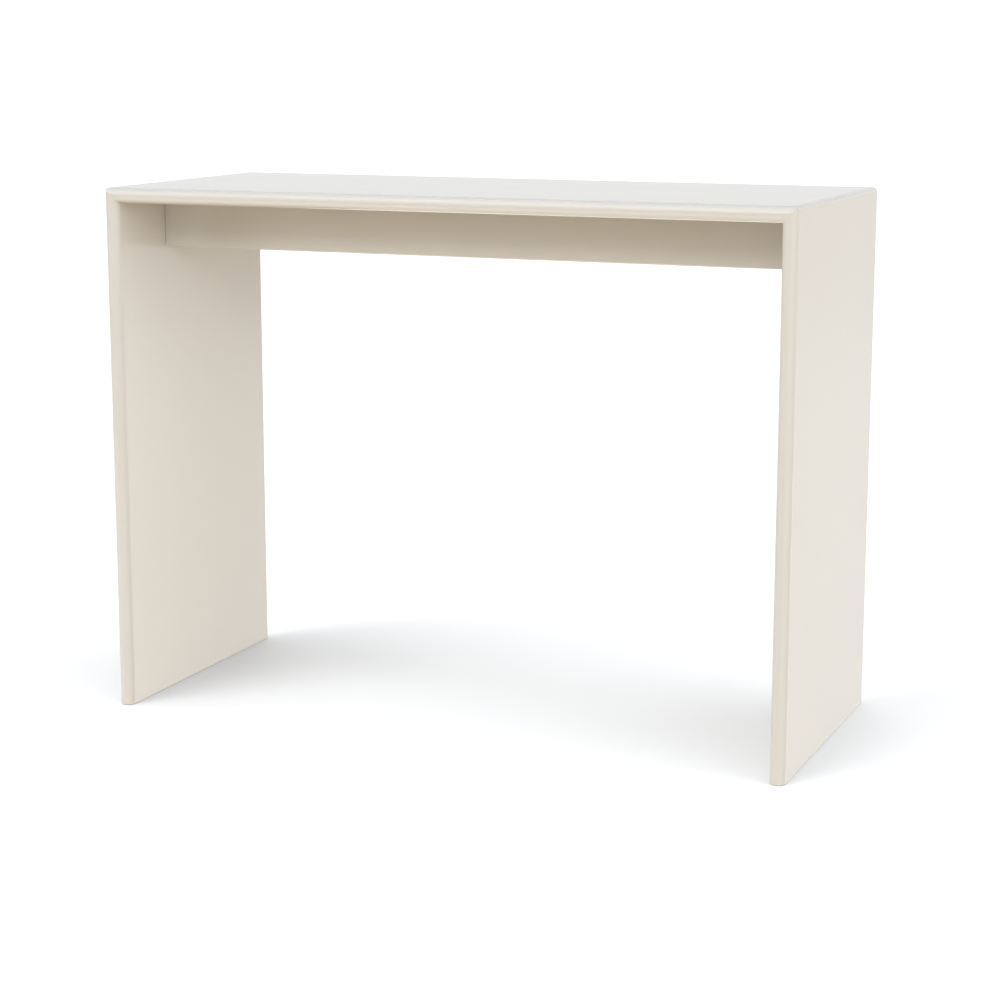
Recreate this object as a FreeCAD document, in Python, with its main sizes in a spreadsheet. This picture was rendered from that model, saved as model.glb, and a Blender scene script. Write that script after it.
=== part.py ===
import FreeCAD, Part
import math
import os
import re

import Sketcher

# Bar table, in millimetres. A top and two side panels of one board are mitred together into an arch, with a
# rail under the top and two glides under each side. The origin is on the floor below the middle of the top,
# +X is the table's right, -Y its rounded front and +Z up.
SIZES = {
    # The whole table, over its glides
    "table_width": "1400",
    "table_depth": "590",
    "table_height": "1050",
    # The lacquered boards: rounded outer corners, half-round front edges and eased rear edges
    "panel_thickness": "30",
    "corner_radius": "10",
    "rear_edge_radius": "1",
    # The rail, measured back from the table's front edge and down from the top's underside
    "rail_setback": "183.5",
    "rail_thickness": "25",
    "rail_height": "98.5",
    "rail_edge_radius": "3",
    "rail_end_radius": "2.5",
    # The biscuits across the mitres, and the saw that cuts their slots
    "biscuits_per_mitre": "6",
    "biscuit_end_distance": "60",
    "biscuit_length": "56",
    "biscuit_width": "23",
    "biscuit_thickness": "4",
    "biscuit_side_clearance": "0.1",
    "biscuit_depth_clearance": "0.8",
    "slot_saw_radius": "50",
    # The dowels in the rail's ends and along its upper edge
    "dowel_diameter": "8",
    "dowel_length": "40",
    "dowel_chamfer": "1",
    "dowel_side_clearance": "0.1",
    "dowel_depth_clearance": "1",
    "dowel_cover": "10",
    "end_dowel_distance": "25",
    "top_dowels": "5",
    "top_dowel_end_distance": "110",
    # The glides let into the lower edges of the sides, and their screws
    "glide_inset": "60",
    "glide_diameter": "20",
    "glide_thickness": "5",
    "glide_stand_off": "1",
    "glide_chamfer": "0.8",
    "glide_clearance": "0.2",
    "screw_length": "16",
    "screw_diameter": "3",
    "screw_head_diameter": "6",
    "screw_head_depth": "1",
    "screw_tip_length": "3",
    "screw_clearance": "0.2",
    "screw_recess_length": "3.2",
    "screw_recess_width": "0.8",
    "screw_recess_depth": "0.9",
    # How far a cutter runs past the wood
    "cutter_overrun": "5",
}
SIDES = {"left": -1, "right": 1}
ENDS = {"front": -1, "rear": 1}
MITRE_ANGLE = 45
UPRIGHT = 0
LYING = 90
ROOT_POINT = (-1, 1)
START_INDEX, END_INDEX, CENTRE_INDEX = 1, 2, 3
SMALLEST_CUT = 1

doc = FreeCAD.newDocument("BarTable")
sheet = doc.addObject("Spreadsheet::Sheet", "Sizes")
for row, (alias, number) in enumerate(SIZES.items(), start=1):
    sheet.set(f"A{row}", alias)
    sheet.set(f"B{row}", number)
    sheet.setAlias(f"B{row}", alias)
doc.recompute()


# Words of the sheet

def on_sheet(words):
    """The words with each size's name pointed at its cell."""
    return re.sub(r"\b(" + "|".join(SIZES) + r")\b", r"Sizes.\1", words)


def value(words):
    return float(sheet.evalExpression(on_sheet(words)))


def bind(thing, sizes):
    for name, words in sizes.items():
        thing.setExpression(name, on_sheet(words))


def spread(index, count, first, last):
    """The place of one of several like things, evenly spread from first to last."""
    return f"({first}) + {index} * (({last}) - ({first})) / ({count} - 1)"


# Sketches

def origin_part(body, role):
    return next(part for part in body.Origin.OriginFeatures if part.Role == role)


def new_sketch(body, name, plane, height="0"):
    """A sketch on one of the body's own planes, raised along that plane's normal."""
    sketch = body.newObject("Sketcher::SketchObject", f"{body.Name}_{name}")
    sketch.AttachmentSupport = (origin_part(body, plane), [""])
    sketch.MapMode = "FlatFace"
    bind(sketch, {"AttachmentOffset.Base.z": height})
    return sketch


def hold(sketch, kind, points, words):
    index = sketch.addConstraint(Sketcher.Constraint(kind, *points, value(words)))
    bind(sketch, {f"Constraints[{index}]": words})


def hold_point(sketch, point, x, y):
    hold(sketch, "DistanceX", ROOT_POINT + point, x)
    hold(sketch, "DistanceY", ROOT_POINT + point, y)


def draw_outline(sketch, corners):
    """A closed outline. A corner (x, y) ends a straight edge, and (x, y, centre_x, centre_y) ends an arc."""
    places = [FreeCAD.Vector(value(corner[0]), value(corner[1]), 0) for corner in corners]
    edge_ends = []
    for index, corner in enumerate(corners):
        start, end = places[index - 1], places[index]
        start_index, end_index = START_INDEX, END_INDEX
        if len(corner) == 2:
            edge = sketch.addGeometry(Part.LineSegment(start, end))
        else:
            centre = FreeCAD.Vector(value(corner[2]), value(corner[3]), 0)
            first = math.atan2(start.y - centre.y, start.x - centre.x)
            last = math.atan2(end.y - centre.y, end.x - centre.x)
            if (last - first) % math.tau > math.pi:
                first, last = last, first
                start_index, end_index = END_INDEX, START_INDEX
            circle = Part.Circle(centre, FreeCAD.Vector(0, 0, 1), centre.distanceToPoint(end))
            edge = sketch.addGeometry(Part.ArcOfCircle(circle, first, last))
            hold(sketch, "DistanceX", ROOT_POINT + (edge, CENTRE_INDEX), corner[2])
        edge_ends.append(((edge, start_index), (edge, end_index)))
    for index, corner in enumerate(corners):
        own_start, own_end = edge_ends[index]
        previous_end = edge_ends[index - 1][1]
        sketch.addConstraint(Sketcher.Constraint("Coincident", *previous_end, *own_start))
        hold_point(sketch, own_end, corner[0], corner[1])


def draw_circles(sketch, centres, diameter):
    for x, y in centres:
        centre = FreeCAD.Vector(value(x), value(y), 0)
        circle = sketch.addGeometry(Part.Circle(centre, FreeCAD.Vector(0, 0, 1), value(diameter) / 2))
        hold_point(sketch, (circle, CENTRE_INDEX), x, y)
        hold(sketch, "Diameter", (circle,), diameter)


# Features

def new_body(label):
    body = doc.addObject("PartDesign::Body", label)
    body.Label = label
    return body


def pad(body, sketch, length, side="Symmetric"):
    feature = body.newObject("PartDesign::Pad", f"{sketch.Name}_pad")
    feature.Profile = sketch
    feature.SideType = side
    bind(feature, {"Length": length})
    doc.recompute()
    return feature


def turn(body, sketch):
    """A turned piece: the sketch is half of its section, to one side of its upright axis."""
    feature = body.newObject("PartDesign::Revolution", f"{sketch.Name}_turned")
    feature.Profile = sketch
    feature.ReferenceAxis = (sketch, ["V_Axis"])
    doc.recompute()


def check_cut(feature, volume_before):
    if feature.Shape.Volume > volume_before - SMALLEST_CUT:
        raise ValueError(f"{feature.Name} cuts nothing")


def cut(body, sketch, length):
    """A cut that reaches half its length to each side of the sketch."""
    volume_before = body.Shape.Volume
    feature = body.newObject("PartDesign::Pocket", f"{sketch.Name}_cut")
    feature.Profile = sketch
    feature.SideType = "Symmetric"
    bind(feature, {"Length": length})
    doc.recompute()
    check_cut(feature, volume_before)


def turned_about_y(degrees):
    return FreeCAD.Placement(FreeCAD.Vector(), FreeCAD.Rotation(FreeCAD.Vector(0, 1, 0), degrees))


def place(body, x, y, z, turned=UPRIGHT):
    """Sets a piece at x, y, z, turned about the table's Y direction."""
    body.Placement = turned_about_y(turned)
    bind(body, {"Placement.Base.x": x, "Placement.Base.y": y, "Placement.Base.z": z})


# Where the pieces meet
front = "-table_depth / 2"
rear = "table_depth / 2"
underside = "table_height - panel_thickness"
panel_foot = "glide_stand_off"
rail_front = f"{front} + rail_setback"
rail_middle = f"{rail_front} + rail_thickness / 2"
rail_foot = f"{underside} - rail_height"
dowel_hole = "dowel_diameter + dowel_side_clearance"
depth_in_board = "(panel_thickness - dowel_cover)"
depth_in_rail = f"(dowel_length - {depth_in_board})"
dowel_shift = f"({depth_in_board} - dowel_length / 2)"
end_dowel_centres = [
    (rail_middle, f"{rail_foot} + end_dowel_distance"),
    (rail_middle, f"{underside} - end_dowel_distance"),
]
screw_hole = "screw_diameter + screw_clearance"
screw_head_height = "(screw_head_diameter - screw_diameter) / 2"
biscuit_count = round(value("biscuits_per_mitre"))
biscuit_first = f"{front} + biscuit_end_distance"
biscuit_last = f"{rear} - biscuit_end_distance"
biscuit_places = [
    spread(index, "biscuits_per_mitre", biscuit_first, biscuit_last) for index in range(biscuit_count)
]
top_dowel_count = round(value("top_dowels"))
top_dowel_reach = "table_width / 2 - panel_thickness - top_dowel_end_distance"
top_dowel_centres = [
    (spread(index, "top_dowels", f"-({top_dowel_reach})", top_dowel_reach), rail_middle)
    for index in range(top_dowel_count)
]


def inner_face(side):
    return f"{side} * (table_width / 2 - panel_thickness)"


def mitre_biscuit_place(side):
    """A third of the way out along the mitre, where the boards leave the most wood around a slot."""
    return f"{side} * (table_width / 2 - panel_thickness * 2 / 3)", f"{underside} + panel_thickness / 3"


def glide_place(side, end):
    return f"{side} * (table_width - panel_thickness) / 2", f"{end} * (table_depth / 2 - glide_inset)"


# The boards: top and sides

def board_section(low_face, high_face):
    """The section of a board, as depth and height: a half-round front edge and eased rear corners."""
    nose_start = f"{front} + panel_thickness / 2"
    nose_height = f"({low_face} + {high_face}) / 2"
    eased = f"{rear} - rear_edge_radius"
    low_eased = f"{low_face} + rear_edge_radius"
    high_eased = f"{high_face} - rear_edge_radius"
    return [
        (front, nose_height, nose_start, nose_height),
        (nose_start, low_face, nose_start, nose_height),
        (eased, low_face),
        (rear, low_eased, eased, low_eased),
        (rear, high_eased),
        (eased, high_face, eased, high_eased),
        (nose_start, high_face),
    ]


def swap_axes(corners):
    """The same outline with its two directions exchanged."""
    return [tuple(corner[index ^ 1] for index in range(len(corner))) for corner in corners]


def mitre_waste(side, on_top):
    """The waste beyond a mitre and beyond its half of the rounded outer corner, seen from the front."""
    outer = f"{side} * table_width / 2"
    beyond = f"{side} * (table_width / 2 + cutter_overrun)"
    within = f"{side} * (table_width / 2 - panel_thickness - cutter_overrun)"
    above = "table_height + cutter_overrun"
    below = f"{underside} - cutter_overrun"
    shoulder = f"{side} * (table_width / 2 - corner_radius)"
    crown = "table_height - corner_radius"
    corner_cut = "corner_radius * (1 - sqrt(0.5))"
    corner_middle = (f"{side} * (table_width / 2 - {corner_cut})", f"table_height - {corner_cut}")
    if on_top:
        rounded = (shoulder, "table_height", shoulder, crown)
        around = [(shoulder, above), (beyond, above), (beyond, below)]
    else:
        rounded = (outer, crown, shoulder, crown)
        around = [(beyond, crown), (beyond, above), (within, above)]
    return [(within, below), corner_middle, rounded] + around


def cut_biscuit_slots(body, name, side, into_top):
    """Plunges the slot saw square to a mitre, once for each biscuit."""
    volume_before = body.Shape.Volume
    x, z = mitre_biscuit_place(side)
    kerf = "biscuit_thickness + biscuit_side_clearance"
    saw_distance = "(slot_saw_radius - biscuit_width / 2 - biscuit_depth_clearance) * sqrt(0.5)"
    half_kerf = f"({kerf}) / 2 * sqrt(0.5)"
    saw = body.newObject("PartDesign::SubtractiveCylinder", f"{body.Name}_{name}_saw")
    saw.AttachmentSupport = (origin_part(body, "XY_Plane"), [""])
    saw.MapMode = "FlatFace"
    saw.AttachmentOffset = turned_about_y(side * MITRE_ANGLE)
    bind(saw, {
        "Radius": "slot_saw_radius",
        "Height": kerf,
        "AttachmentOffset.Base.x": f"{x} + {side * into_top} * {saw_distance} - {side} * {half_kerf}",
        "AttachmentOffset.Base.y": biscuit_first,
        "AttachmentOffset.Base.z": f"{z} - {into_top} * {saw_distance} - {half_kerf}",
    })
    doc.recompute()
    check_cut(saw, volume_before)
    slots = body.newObject("PartDesign::LinearPattern", f"{body.Name}_{name}_slots")
    slots.Originals = [saw]
    slots.Direction = (origin_part(body, "Y_Axis"), [""])
    bind(slots, {"Length": f"{biscuit_last} - ({biscuit_first})", "Occurrences": "biscuits_per_mitre"})
    body.Tip = slots
    doc.recompute()
    check_cut(slots, saw.Shape.Volume)


def drill(body, name, plane, height, centres, diameter, depth):
    holes = new_sketch(body, name, plane, height)
    draw_circles(holes, centres, diameter)
    cut(body, holes, f"2 * ({depth})")


def drill_for_dowels(body, name, plane, height, centres, depth):
    drill(body, name, plane, height, centres, dowel_hole, f"{depth} + dowel_depth_clearance")


def make_table_top():
    body = new_body("table_top")
    section = new_sketch(body, "section", "YZ_Plane")
    draw_outline(section, board_section(underside, "table_height"))
    pad(body, section, "table_width")
    mitres = new_sketch(body, "mitres", "XZ_Plane")
    for side in SIDES.values():
        draw_outline(mitres, mitre_waste(side, on_top=True))
    cut(body, mitres, "2 * table_depth")
    for name, side in SIDES.items():
        cut_biscuit_slots(body, name, side, into_top=1)
    drill_for_dowels(body, "dowel_holes", "XY_Plane", underside, top_dowel_centres, depth_in_board)
    return body


def make_side_panel(name, side):
    body = new_body(f"{name}_side_panel")
    section = new_sketch(body, "section", "XY_Plane", panel_foot)
    faces = sorted([inner_face(side), f"{side} * table_width / 2"], key=value)
    draw_outline(section, swap_axes(board_section(*faces)))
    pad(body, section, f"table_height - {panel_foot}", "One side")
    mitre = new_sketch(body, "mitre", "XZ_Plane")
    draw_outline(mitre, mitre_waste(side, on_top=False))
    cut(body, mitre, "2 * table_depth")
    cut_biscuit_slots(body, name, side, into_top=-1)
    drill_for_dowels(body, "dowel_holes", "YZ_Plane", inner_face(side), end_dowel_centres, depth_in_board)
    glides = [glide_place(side, end) for end in ENDS.values()]
    recess_diameter = "glide_diameter + glide_clearance"
    recess_depth = "glide_thickness - glide_stand_off"
    screw_hole_depth = f"screw_head_depth + screw_length + screw_clearance - {panel_foot}"
    drill(body, "glide_recesses", "XY_Plane", panel_foot, glides, recess_diameter, recess_depth)
    drill(body, "screw_holes", "XY_Plane", panel_foot, glides, screw_hole, screw_hole_depth)
    return body


# The rail

def make_apron_rail():
    """A rail with rounded lower edges, and ends eased where they show against the side panels."""
    body = new_body("apron_rail")
    rail_rear = f"{rail_front} + rail_thickness"
    rounding_front = f"{rail_front} + rail_edge_radius"
    rounding_rear = f"{rail_rear} - rail_edge_radius"
    rounding_top = f"{rail_foot} + rail_edge_radius"
    section = new_sketch(body, "section", "YZ_Plane")
    draw_outline(section, [
        (rail_front, underside),
        (rail_front, rounding_top),
        (rounding_front, rail_foot, rounding_front, rounding_top),
        (rounding_rear, rail_foot),
        (rail_rear, rounding_top, rounding_rear, rounding_top),
        (rail_rear, underside),
    ])
    rail = pad(body, section, "table_width - 2 * panel_thickness")
    eased = body.newObject("PartDesign::Fillet", "apron_rail_eased_ends")
    eased.Base = (rail, end_edges(rail.Shape))
    bind(eased, {"Radius": "rail_end_radius"})
    doc.recompute()
    for name, side in SIDES.items():
        holes = f"{name}_holes"
        drill_for_dowels(body, holes, "YZ_Plane", inner_face(side), end_dowel_centres, depth_in_rail)
    drill_for_dowels(body, "upper_holes", "XY_Plane", underside, top_dowel_centres, depth_in_rail)
    return body


def end_edges(shape):
    """The names of the edges around a rail's two ends, without those against the top."""
    box = shape.BoundBox
    names = []
    for index, edge in enumerate(shape.Edges, start=1):
        at_end = math.isclose(abs(edge.CenterOfMass.x), box.XMax)
        against_top = math.isclose(edge.CenterOfMass.z, box.ZMax)
        if at_end and not against_top:
            names.append(f"Edge{index}")
    return names


# Biscuits and dowels

def make_biscuit(name, side, number, y):
    """A pressed beech biscuit: two arcs of the saw's radius with blunt tips, set square across the mitre."""
    body = new_body(f"mitre_biscuit_{name}_{number}")
    tip = "biscuit_length / 2"
    arc_drop = f"(slot_saw_radius - sqrt(slot_saw_radius ^ 2 - ({tip}) ^ 2))"
    tip_width = f"biscuit_width / 2 - {arc_drop}"
    arc_centre = "slot_saw_radius - biscuit_width / 2"
    outline = new_sketch(body, "outline", "XY_Plane")
    draw_outline(outline, [
        (tip_width, f"-{tip}"),
        (tip_width, tip, f"-({arc_centre})", "0"),
        (f"-({tip_width})", tip),
        (f"-({tip_width})", f"-{tip}", arc_centre, "0"),
    ])
    pad(body, outline, "biscuit_thickness")
    x, z = mitre_biscuit_place(side)
    place(body, x, y, z, side * MITRE_ANGLE)
    return body


def make_dowel(label, x, y, z, turned):
    """A beech dowel with chamfered ends."""
    body = new_body(label)
    end = "dowel_length / 2"
    edge = "dowel_diameter / 2"
    half = new_sketch(body, "half_section", "XZ_Plane")
    draw_outline(half, [
        ("0", f"-{end}"),
        (f"{edge} - dowel_chamfer", f"-{end}"),
        (edge, f"-{end} + dowel_chamfer"),
        (edge, f"{end} - dowel_chamfer"),
        (f"{edge} - dowel_chamfer", end),
        ("0", end),
    ])
    turn(body, half)
    place(body, x, y, z, turned)
    return body


# Glides and their screws

def make_glide(side_name, end_name):
    """A plastic glide with a chamfered rim and a countersunk hole from below."""
    body = new_body(f"glide_{end_name}_{side_name}")
    rim = "glide_diameter / 2"
    hole = f"({screw_hole}) / 2"
    head_hole = "(screw_head_diameter + screw_clearance) / 2"
    half = new_sketch(body, "half_section", "XZ_Plane")
    draw_outline(half, [
        (head_hole, "0"),
        (f"{rim} - glide_chamfer", "0"),
        (rim, "glide_chamfer"),
        (rim, "glide_thickness"),
        (hole, "glide_thickness"),
        (hole, f"screw_head_depth + {screw_head_height}"),
        (head_hole, "screw_head_depth"),
    ])
    turn(body, half)
    x, y = glide_place(SIDES[side_name], ENDS[end_name])
    place(body, x, y, "0")
    return body


def make_glide_screw(side_name, end_name):
    """A countersunk screw, its head down, with a cross recess and a pointed tip."""
    body = new_body(f"glide_screw_{end_name}_{side_name}")
    shank = "screw_diameter / 2"
    half = new_sketch(body, "half_section", "XZ_Plane")
    draw_outline(half, [
        ("0", "0"),
        ("screw_head_diameter / 2", "0"),
        (shank, screw_head_height),
        (shank, "screw_length - screw_tip_length"),
        ("0", "screw_length"),
    ])
    turn(body, half)
    arm = "screw_recess_length / 2"
    flank = "screw_recess_width / 2"
    recess = new_sketch(body, "recess", "XY_Plane")
    draw_outline(recess, [
        (arm, f"-{flank}"),
        (arm, flank),
        (flank, flank),
        (flank, arm),
        (f"-{flank}", arm),
        (f"-{flank}", flank),
        (f"-{arm}", flank),
        (f"-{arm}", f"-{flank}"),
        (f"-{flank}", f"-{flank}"),
        (f"-{flank}", f"-{arm}"),
        (flank, f"-{arm}"),
        (flank, f"-{flank}"),
    ])
    cut(body, recess, "2 * screw_recess_depth")
    x, y = glide_place(SIDES[side_name], ENDS[end_name])
    place(body, x, y, "screw_head_depth")
    return body


# The assembly
pieces = [make_table_top()]
for side_name, side in SIDES.items():
    pieces.append(make_side_panel(side_name, side))
pieces.append(make_apron_rail())
for side_name, side in SIDES.items():
    for number, y in enumerate(biscuit_places, start=1):
        pieces.append(make_biscuit(side_name, side, number, y))
    for number, (y, z) in enumerate(end_dowel_centres, start=1):
        x = f"{inner_face(side)} + {side} * {dowel_shift}"
        pieces.append(make_dowel(f"rail_end_dowel_{side_name}_{number}", x, y, z, LYING))
for number, (x, y) in enumerate(top_dowel_centres, start=1):
    z = f"{underside} + {dowel_shift}"
    pieces.append(make_dowel(f"rail_top_dowel_{number}", x, y, z, UPRIGHT))
for side_name in SIDES:
    for end_name in ENDS:
        pieces.append(make_glide(side_name, end_name))
        pieces.append(make_glide_screw(side_name, end_name))
doc.recompute()

for thing in doc.Objects:
    if "Invalid" in thing.State or "Error" in thing.State:
        raise ValueError(f"{thing.Name} failed: {thing.State}")
for piece in pieces:
    if piece.Shape.isNull() or not piece.Shape.isValid() or len(piece.Shape.Solids) != 1:
        raise ValueError(f"{piece.Label} is not one sound solid")

os.makedirs("parts", exist_ok=True)
for piece in pieces:
    piece.Shape.exportStep(f"parts/{piece.Label}.step")
    print(f"{piece.Label}: {piece.Shape.Volume:.1f} cubic millimetres")
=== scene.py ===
import math

import bmesh
import bpy
from mathutils import Matrix, Vector


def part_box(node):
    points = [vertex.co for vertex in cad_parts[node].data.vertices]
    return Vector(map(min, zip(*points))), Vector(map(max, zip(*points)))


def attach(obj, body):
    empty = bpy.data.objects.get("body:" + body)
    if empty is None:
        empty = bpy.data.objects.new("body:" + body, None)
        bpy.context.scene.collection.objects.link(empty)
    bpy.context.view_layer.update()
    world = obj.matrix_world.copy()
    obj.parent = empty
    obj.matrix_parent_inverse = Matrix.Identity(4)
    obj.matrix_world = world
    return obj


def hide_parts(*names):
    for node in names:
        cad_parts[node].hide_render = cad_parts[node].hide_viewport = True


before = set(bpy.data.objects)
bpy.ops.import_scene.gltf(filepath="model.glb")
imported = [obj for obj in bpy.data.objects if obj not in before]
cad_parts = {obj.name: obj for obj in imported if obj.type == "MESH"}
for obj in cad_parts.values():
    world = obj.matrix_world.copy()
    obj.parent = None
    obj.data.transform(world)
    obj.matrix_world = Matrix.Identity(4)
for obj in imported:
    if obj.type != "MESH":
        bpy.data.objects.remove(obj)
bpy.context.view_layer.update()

# Table top: a 30 mm fibreboard with a half-round front edge, eased rear edges and mitred ends, which take half of
# each rounded outer corner. It is sprayed with satin lacquer before the table is glued up, so the mitres show as
# hairlines, and it is pocketed for the biscuits in its mitres and the dowels along the rail.
top_low, top_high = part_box("table_top")
outer_left, outer_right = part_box("left_side_panel")[0].x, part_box("right_side_panel")[1].x
board_thickness = top_high.z - top_low.z
nose_steps = 24
outer_corner_radius = 0.010
outer_corner_steps = 8
rear_edge_radius = 0.001
rear_edge_steps = 3
mitre_angle = math.radians(45)
mitre_ease = 0.0002
mitre_ease_steps = 2
biscuits_per_mitre = 6
slot_saw_radius = 0.050
slot_saw_sides = 128
slot_kerf = 0.0041
slot_plunge = 0.0123
top_dowel_count = 5
dowel_hole_radius = 0.00405
hole_spare_depth = 0.001
hole_sides = 48
same_place = 1e-6
same_plane = 1e-7
same_direction = 0.999
sharp_angle = math.radians(30)
even_shading_weight = 100
lacquer_colour = (0.727, 0.717, 0.694)
lacquer_drift = 0.006
lacquer_roughness = (0.15, 0.17)
lacquer_ior = 1.5
cloud_scale, cloud_detail = 6.0, 3.0
peel_scale, peel_detail = 420.0, 2.0
peel_strength, peel_height = 0.02, 0.0004
LEFT, RIGHT = -1, 1
side_names = {LEFT: "left", RIGHT: "right"}
X, Y, Z = 0, 1, 2
UPRIGHT = Vector((0, 0, 1))


def square_board(low, high):
    """A sawn board between two opposite corners."""
    bm = bmesh.new()
    bmesh.ops.create_cube(bm, size=1)
    bmesh.ops.scale(bm, vec=high - low, verts=bm.verts)
    bmesh.ops.translate(bm, vec=(low + high) / 2, verts=bm.verts)
    return bm


def edges_at(bm, axis, place):
    """The edges that lie wholly at one place on an axis."""
    return [edge for edge in bm.edges
            if all(abs(vert.co[axis] - place) < same_place for vert in edge.verts)]


def ease(bm, edges, radius, steps):
    """Rounds edges."""
    bmesh.ops.bevel(bm, geom=edges, offset=radius, offset_type="OFFSET", affect="EDGES", segments=steps,
                    profile=0.5, material=-1, clamp_overlap=True)


def rout(bm, edges, radius, steps):
    """Rounds edges and joins the points that then fall together, as on a half round."""
    ease(bm, edges, radius, steps)
    bmesh.ops.remove_doubles(bm, verts=bm.verts, dist=same_place)


def long_edges(bm, depth, along):
    """The edges at one depth that run along a board."""
    return [edge for edge in edges_at(bm, Y, depth)
            if abs(edge.verts[0].co[along] - edge.verts[1].co[along]) > board_thickness]


def round_front_and_rear(bm, low, high, along):
    """A half-round front edge and eased rear edges."""
    rout(bm, long_edges(bm, low.y, along), board_thickness / 2, nose_steps)
    rout(bm, long_edges(bm, high.y, along), rear_edge_radius, rear_edge_steps)


def saw_off(bm, point, normal):
    """Saws off what lies beyond a plane, and closes the cut."""
    cut = bmesh.ops.bisect_plane(bm, geom=bm.verts[:] + bm.edges[:] + bm.faces[:], dist=same_plane,
                                 plane_co=point, plane_no=normal, clear_outer=True)
    rim = [part for part in cut["geom_cut"] if isinstance(part, bmesh.types.BMEdge)]
    bmesh.ops.contextual_create(bm, geom=rim)


def towards_waste(side, on_top):
    """The direction out of a board through its mitre."""
    return Vector((side, 0, -1)).normalized() * (1 if on_top else -1)


def mitre(bm, side, on_top):
    """Saws a mitre at one end, rounds the board's half of the outer corner and eases the mitre's edges."""
    outer = outer_right if side == RIGHT else outer_left
    inner_corner = Vector((outer - side * board_thickness, 0, top_low.z))
    waste = towards_waste(side, on_top)
    saw_off(bm, inner_corner, waste)
    arc_centre = Vector((outer - side * outer_corner_radius, 0, top_high.z - outer_corner_radius))
    for step in range(1, outer_corner_steps + 1):
        lean = mitre_angle * step / outer_corner_steps
        if not on_top:
            lean = 2 * mitre_angle - lean
        outward = Vector((side * math.sin(lean), 0, math.cos(lean)))
        saw_off(bm, arc_centre + outward * outer_corner_radius, outward)
    bmesh.ops.recalc_face_normals(bm, faces=bm.faces)
    sawn_faces = [face for face in bm.faces if face.normal.dot(waste) > same_direction]
    mitre_face = max(sawn_faces, key=lambda face: face.calc_area())
    ease(bm, mitre_face.edges[:], mitre_ease, mitre_ease_steps)


def biscuit_slots(bm, side, on_top):
    """The plunges of a slot saw into a mitre, one around each biscuit."""
    name = side_names[side]
    saw_offset = towards_waste(side, on_top) * (slot_saw_radius - slot_plunge)
    tilt = Matrix.Rotation(side * mitre_angle, 4, "Y")
    for number in range(1, biscuits_per_mitre + 1):
        low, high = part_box(f"mitre_biscuit_{name}_{number}")
        bmesh.ops.create_cone(bm, cap_ends=True, segments=slot_saw_sides, radius1=slot_saw_radius,
                              radius2=slot_saw_radius, depth=slot_kerf,
                              matrix=Matrix.Translation((low + high) / 2 + saw_offset) @ tilt)


def hole(bm, centre, axis, radius, depth):
    """A drilled hole, from half its depth before the centre to half its depth past it."""
    turn = UPRIGHT.rotation_difference(axis).to_matrix().to_4x4()
    bmesh.ops.create_cone(bm, cap_ends=True, segments=hole_sides, radius1=radius, radius2=radius, depth=depth,
                          matrix=Matrix.Translation(centre) @ turn)


def dowel_hole(bm, node):
    """A hole around a dowel, which leaves some room at both of its ends."""
    low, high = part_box(node)
    size = high - low
    axis = Vector((1, 0, 0)) if size.x > size.z else UPRIGHT
    hole(bm, (low + high) / 2, axis, dowel_hole_radius, size.dot(axis) + 2 * hole_spare_depth)


def new_object(name, bm):
    """Puts a finished mesh into the scene."""
    bmesh.ops.recalc_face_normals(bm, faces=bm.faces)
    mesh = bpy.data.meshes.new(name)
    bm.to_mesh(mesh)
    bm.free()
    made = bpy.data.objects.new(name, mesh)
    bpy.context.scene.collection.objects.link(made)
    return made


def finish_board(name, bm, pockets, node):
    """Cuts the pockets out of a board, lacquers it and puts it in its CAD node's place."""
    board, cutter = new_object(name, bm), new_object(f"{name}_pockets", pockets)
    pocketed = board.modifiers.new("pockets", "BOOLEAN")
    pocketed.operation = "DIFFERENCE"
    pocketed.solver = "EXACT"
    pocketed.use_self = True
    pocketed.object = cutter
    shaped = bpy.data.meshes.new_from_object(board.evaluated_get(bpy.context.evaluated_depsgraph_get()))
    board.modifiers.remove(pocketed)
    board.data = shaped
    shaped.name = name
    bpy.data.objects.remove(cutter)
    shaped.shade_smooth()
    shaped.set_sharp_from_angle(angle=sharp_angle)
    shaped.materials.clear()
    shaped.materials.append(satin_lacquer)
    even = board.modifiers.new("even_shading", "WEIGHTED_NORMAL")
    even.mode = "FACE_AREA"
    even.weight = even_shading_weight
    even.keep_sharp = True
    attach(board, "root")
    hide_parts(node)


def add_node(tree, kind, inputs, **settings):
    """A shader node with its settings, and its inputs linked where a socket is given."""
    node = tree.nodes.new(kind)
    for name, setting in settings.items():
        setattr(node, name, setting)
    for socket, given in inputs.items():
        if isinstance(given, bpy.types.NodeSocket):
            tree.links.new(given, node.inputs[socket])
        else:
            node.inputs[socket].default_value = given
    return node


def new_finish(name):
    """A material with its node tree, its shader and the place on the piece that its patterns follow."""
    finish = bpy.data.materials.new(name)
    finish.use_nodes = True
    tree = finish.node_tree
    place = add_node(tree, "ShaderNodeTexCoord", {}).outputs["Object"]
    return finish, tree, tree.nodes["Principled BSDF"], place


def noise(tree, place, scale, detail):
    speckle = add_node(tree, "ShaderNodeTexNoise", {"Vector": place, "Scale": scale, "Detail": detail})
    return speckle.outputs["Fac"]


def shade(colour, factor):
    return tuple(channel * factor for channel in colour)


def vary(tree, shader, pattern, dark, light, roughness):
    """Lets a pattern carry the colour from dark to light, and the roughness from its first value to its second."""
    tint = add_node(tree, "ShaderNodeMix", {"Factor": pattern, "A": (*dark, 1), "B": (*light, 1)},
                    data_type="RGBA")
    tree.links.new(tint.outputs["Result"], shader.inputs["Base Color"])
    gloss = add_node(tree, "ShaderNodeMapRange",
                     {"Value": pattern, "To Min": roughness[0], "To Max": roughness[1]})
    tree.links.new(gloss.outputs["Result"], shader.inputs["Roughness"])


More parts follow.
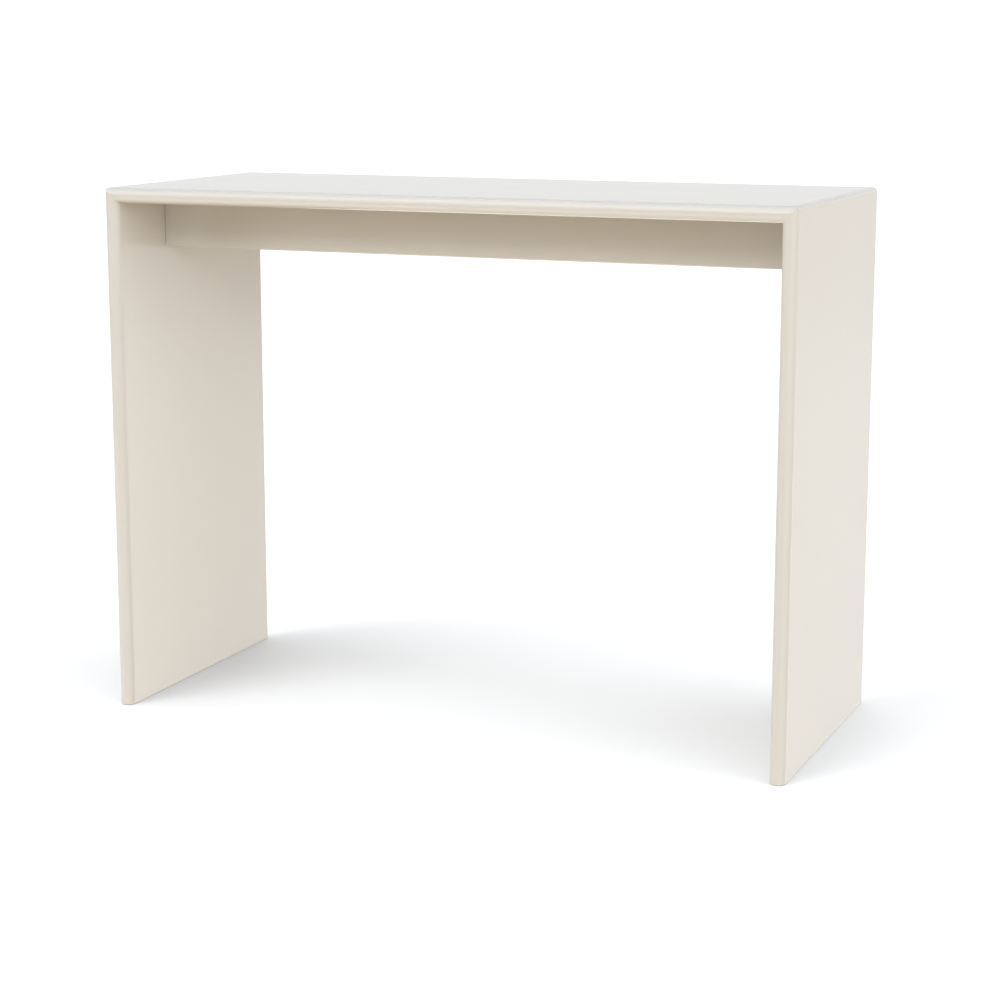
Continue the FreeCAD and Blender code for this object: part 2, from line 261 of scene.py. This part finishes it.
def raise_pattern(tree, shader, pattern, strength, height):
    """Lets a pattern stand out of the surface."""
    relief = add_node(tree, "ShaderNodeBump", {"Height": pattern, "Strength": strength, "Distance": height})
    tree.links.new(relief.outputs["Normal"], shader.inputs["Normal"])


satin_lacquer, tree, shader, place = new_finish("satin_lacquer")
cloud = noise(tree, place, cloud_scale, cloud_detail)
vary(tree, shader, cloud, shade(lacquer_colour, 1 - lacquer_drift), shade(lacquer_colour, 1 + lacquer_drift),
     lacquer_roughness)
peel = noise(tree, place, peel_scale, peel_detail)
raise_pattern(tree, shader, peel, peel_strength, peel_height)
shader.inputs["IOR"].default_value = lacquer_ior

top = square_board(Vector((outer_left, top_low.y, top_low.z)), Vector((outer_right, top_high.y, top_high.z)))
round_front_and_rear(top, top_low, top_high, along=X)
top_pockets = bmesh.new()
for side in side_names:
    mitre(top, side, on_top=True)
    biscuit_slots(top_pockets, side, on_top=True)
for number in range(1, top_dowel_count + 1):
    dowel_hole(top_pockets, f"rail_top_dowel_{number}")
finish_board("top_board", top, top_pockets, "table_top")

# Side panels: the same lacquered board standing on end, its half-round edge to the front, mitred at the head and
# eased at the foot. Each is pocketed for its biscuits and for the dowels in the rail's end, and its lower edge is
# drilled for two glides and their screws.
foot_ease = 0.0004
foot_ease_steps = 2
end_dowel_count = 2
glide_recess_radius = 0.0101
screw_hole_radius = 0.0016

for side, name in side_names.items():
    low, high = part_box(f"{name}_side_panel")
    high.z = top_high.z
    panel = square_board(low, high)
    round_front_and_rear(panel, low, high, along=Z)
    mitre(panel, side, on_top=False)
    rout(panel, edges_at(panel, Z, low.z), foot_ease, foot_ease_steps)
    pockets = bmesh.new()
    biscuit_slots(pockets, side, on_top=False)
    for number in range(1, end_dowel_count + 1):
        dowel_hole(pockets, f"rail_end_dowel_{name}_{number}")
    for end in ("front", "rear"):
        glide_low, glide_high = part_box(f"glide_{end}_{name}")
        screw_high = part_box(f"glide_screw_{end}_{name}")[1]
        under_glide = (glide_low + glide_high) / 2
        under_glide.z = 0
        hole(pockets, under_glide, UPRIGHT, glide_recess_radius, 2 * glide_high.z)
        hole(pockets, under_glide, UPRIGHT, screw_hole_radius, 2 * screw_high.z)
    finish_board(f"{name}_side_board", panel, pockets, f"{name}_side_panel")

# Rail: a lacquered board on edge under the top, from side to side, which keeps the table from racking. Its lower
# edges are rounded and its ends eased, so a dark crease shows where it meets the sides. Dowels hold it to the top
# and to the sides.
rail_edge_radius = 0.003
rail_edge_steps = 6
rail_end_radius = 0.0025
rail_end_steps = 6

rail_low, rail_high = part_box("apron_rail")
rail = square_board(rail_low, rail_high)
rail_thickness = rail_high.y - rail_low.y
lower_edges = [edge for edge in edges_at(rail, Z, rail_low.z) if edge.calc_length() > rail_thickness + same_place]
rout(rail, lower_edges, rail_edge_radius, rail_edge_steps)
for rail_end in (rail_low.x, rail_high.x):
    below_top = [edge for edge in edges_at(rail, X, rail_end)
                 if any(vert.co.z < rail_high.z - same_place for vert in edge.verts)]
    rout(rail, below_top, rail_end_radius, rail_end_steps)
rail_pockets = bmesh.new()
for name in side_names.values():
    for number in range(1, end_dowel_count + 1):
        dowel_hole(rail_pockets, f"rail_end_dowel_{name}_{number}")
for number in range(1, top_dowel_count + 1):
    dowel_hole(rail_pockets, f"rail_top_dowel_{number}")
finish_board("rail_board", rail, rail_pockets, "apron_rail")

# Biscuits and dowels: pressed and turned beech, glued into the slots and holes, out of sight in the finished
# table. The CAD solids are already their shape, so they only get their wood.
beech_light, beech_dark = (0.62, 0.42, 0.25), (0.47, 0.29, 0.16)
beech_roughness = (0.55, 0.75)
grain_stretch, grain_detail = (260.0, 18.0, 260.0), 5.0
grain_strength, grain_height = 0.3, 0.0002

beech, tree, shader, place = new_finish("beech")
stretched = add_node(tree, "ShaderNodeMapping", {"Vector": place, "Scale": grain_stretch}).outputs["Vector"]
grain = noise(tree, stretched, 1.0, grain_detail)
vary(tree, shader, grain, beech_dark, beech_light, beech_roughness)
raise_pattern(tree, shader, grain, grain_strength, grain_height)


def dress_nodes(start, finish):
    """Gives every CAD node whose name starts so its finish."""
    for name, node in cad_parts.items():
        if name.startswith(start):
            node.data.materials.clear()
            node.data.materials.append(finish)


dress_nodes("mitre_biscuit_", beech)
dress_nodes("rail_end_dowel_", beech)
dress_nodes("rail_top_dowel_", beech)

# Glides: pale moulded plastic discs let into the sides' lower edges, which keep the lacquer 1 mm off the floor.
# One countersunk zinc-plated screw holds each. They too are CAD solids that only get their materials.
glide_colour = (0.70, 0.68, 0.64)
glide_shade = 0.96
glide_roughness = (0.42, 0.55)
grit_scale, grit_detail = 1500.0, 3.0
grit_strength, grit_height = 0.15, 0.0001
zinc_colour = (0.62, 0.63, 0.64)
zinc_shade = 0.9
zinc_roughness = (0.28, 0.42)
plating_scale, plating_detail = 900.0, 4.0

glide_plastic, tree, shader, place = new_finish("glide_plastic")
grit = noise(tree, place, grit_scale, grit_detail)
vary(tree, shader, grit, shade(glide_colour, glide_shade), glide_colour, glide_roughness)
raise_pattern(tree, shader, grit, grit_strength, grit_height)
dress_nodes("glide_front_", glide_plastic)
dress_nodes("glide_rear_", glide_plastic)

screw_steel, tree, shader, place = new_finish("screw_steel")
plating = noise(tree, place, plating_scale, plating_detail)
vary(tree, shader, plating, shade(zinc_colour, zinc_shade), zinc_colour, zinc_roughness)
shader.inputs["Metallic"].default_value = 1.0
dress_nodes("glide_screw_", screw_steel)

# Floor: a seamless pale studio floor. The camera sees one sheet, which runs past the horizon. The light that comes
# back up from below comes from a second, warmer sheet just under it, so that the shaded rail keeps its warm tone.
floor_reach = 2000.0
floor_sides = 64
floor_pale = (0.684, 0.700, 0.720, 1)
floor_warm = (0.900, 0.745, 0.530, 1)
floor_sheet_gap = 0.0005


def lay_floor(name, colour, height):
    """A round matt sheet that doesn't show in the table's gloss."""
    outline = bmesh.new()
    bmesh.ops.create_circle(outline, cap_ends=True, segments=floor_sides, radius=floor_reach)
    bmesh.ops.translate(outline, vec=(0, 0, height), verts=outline.verts)
    floor = new_object(name, outline)
    paint = bpy.data.materials.new(name)
    paint.use_nodes = True
    shader = paint.node_tree.nodes["Principled BSDF"]
    shader.inputs["Base Color"].default_value = colour
    shader.inputs["Roughness"].default_value = 1.0
    shader.inputs["Specular IOR Level"].default_value = 0.0
    floor.data.materials.append(paint)
    floor.visible_glossy = False
    return floor


seen_floor = lay_floor("floor", floor_pale, 0)
seen_floor.visible_diffuse = False
seen_floor.visible_shadow = False
warm_floor = lay_floor("floor_bounce", floor_warm, -floor_sheet_gap)
warm_floor.visible_camera = False

# Studio light: soft-edged white panels all round and a weak one above, with dark gaps that show as stripes in the
# gloss of the half-round edges; those below the floor show in the gloss alone. Six wide lights shine on the floor
# alone, so that only the table's soft shadow stays on it, and two on the table alone, which leave no gloss.
panel_soft_edge = 4.0
studio_panels = (
    # left and right edge from the front, low and high edge above the floor, in degrees, and strength
    (-165, -10, -120, -25, 2.50),
    (-10, 195, -120, -25, 0.90),
    (-75, -36, -25, -8, 1.50),
    (20, 70, -25, -1, 0.73),
    (70, 120, -25, -1, 0.18),
    (138, 160, -25, -6.5, 2.00),
    (160, 225, -25, -6.5, 1.07),
    (225, 285, -25, -6.5, 0.90),
    (-75, -36, -8, 0, 0.80),
    (-75, -36, 0, 19, 1.30),
    (20, 70, -1, 19, 1.10),
    (70, 120, -1, 19, 1.53),
    (120, 160, -6.5, 19, 1.00),
    (160, 225, -6.5, 19, 0.95),
    (225, 285, -6.5, 19, 0.30),
    (-55, -20, 21, 60, 2.15),
    (-20, 30, 19, 33, 3.60),
    (30, 100, 19, 62, 1.80),
    (180, 270, 19, 62, 0.72),
    (-190, 190, 62, 118, 0.52),
)
backdrop_white = 1.05
floor_alone = bpy.data.collections.new("floor_alone")
all_but_floor = bpy.data.collections.new("all_but_floor")
wide_lights = (
    # name, what it shines on, degrees from the front and above the floor, spread in degrees, and strength
    ("floor_light_front", floor_alone, -30, 38, 40, 1.25),
    ("floor_light_left", floor_alone, -80, 40, 40, 0.66),
    ("floor_light_right", floor_alone, 100, 45, 60, 1.00),
    ("floor_light_back_right", floor_alone, 140, 35, 50, 0.65),
    ("floor_light_back_left", floor_alone, 205, 35, 50, 0.80),
    ("floor_light_above", floor_alone, 0, 78, 40, 0.57),
    ("table_light_left", all_but_floor, -54, 10, 20, 0.49),
    ("table_light_right", all_but_floor, 60, 10, 20, 0.24),
)
QUARTER_TURN, HALF_TURN = 90.0, 180.0

world = bpy.data.worlds.new("studio")
world.use_nodes = True
bpy.context.scene.world = world
tree = world.node_tree


def calculate(operation, *values):
    sums = add_node(tree, "ShaderNodeMath", dict(enumerate(values)), operation=operation)
    return sums.outputs["Value"]


def within(angle, low, high):
    """One between two angles, nought outside them, with a soft edge."""
    from_middle = calculate("SUBTRACT", angle, (low + high) / 2)
    off_middle = calculate("ABSOLUTE", calculate("WRAP", from_middle, HALF_TURN, -HALF_TURN))
    reach = (high - low) / 2
    return add_node(tree, "ShaderNodeMapRange", {
        "Value": off_middle,
        "From Min": reach + panel_soft_edge / 2,
        "From Max": reach - panel_soft_edge / 2,
    }, interpolation_type="SMOOTHSTEP").outputs["Result"]


direction = add_node(tree, "ShaderNodeTexCoord", {}).outputs["Generated"]
look = add_node(tree, "ShaderNodeSeparateXYZ", {"Vector": direction}).outputs
to_front = calculate("MULTIPLY", look["Y"], -1.0)
from_front = calculate("DEGREES", calculate("ARCTAN2", look["X"], to_front))
above_floor = calculate("DEGREES", calculate("ARCSINE", look["Z"]))
rows = dict.fromkeys((low_edge, high_edge) for _, _, low_edge, high_edge, _ in studio_panels)
in_row = {row: within(above_floor, *row) for row in rows}
brightness = 0.0
for left_edge, right_edge, low_edge, high_edge, strength in studio_panels:
    panel = calculate("MULTIPLY", within(from_front, left_edge, right_edge), in_row[low_edge, high_edge])
    brightness = calculate("MULTIPLY_ADD", panel, strength, brightness)
seen_directly = add_node(tree, "ShaderNodeLightPath", {}).outputs["Is Camera Ray"]
seen = add_node(tree, "ShaderNodeMix", {"Factor": seen_directly, "A": brightness, "B": backdrop_white},
                data_type="FLOAT")
tree.links.new(seen.outputs["Result"], tree.nodes["Background"].inputs["Strength"])
tree.nodes["Background"].inputs["Color"].default_value = (1, 1, 1, 1)

floor_alone.objects.link(seen_floor)
for sheet in (seen_floor, warm_floor):
    all_but_floor.objects.link(sheet)
for left_out in all_but_floor.collection_objects:
    left_out.light_linking.link_state = "EXCLUDE"
for name, lit_pieces, turn, height, spread, strength in wide_lights:
    light = bpy.data.lights.new(name, "SUN")
    light.energy = strength
    light.angle = math.radians(spread)
    lamp = bpy.data.objects.new(name, light)
    lamp.rotation_euler = (math.radians(QUARTER_TURN - height), 0, math.radians(turn))
    lamp.light_linking.receiver_collection = lit_pieces
    lamp.visible_glossy = False
    bpy.context.scene.collection.objects.link(lamp)
bpy.context.scene.view_settings.view_transform = "Standard"

# Camera: an 85 mm lens at standing height in front of the table, to the right of its middle and looking slightly
# down, where the photograph was taken from.
camera_lens, camera_sensor = 85.137, 36
camera_place = (1.7610, -4.2359, 1.3348)
camera_turn, camera_down = 22.5477, 11.0073

camera_data = bpy.data.cameras.new("camera")
camera_data.sensor_width = camera_sensor
camera_data.lens = camera_lens
camera = bpy.data.objects.new("camera", camera_data)
camera.location = camera_place
camera.rotation_euler = (math.radians(QUARTER_TURN - camera_down), 0, math.radians(camera_turn))
bpy.context.scene.collection.objects.link(camera)
bpy.context.scene.camera = camera
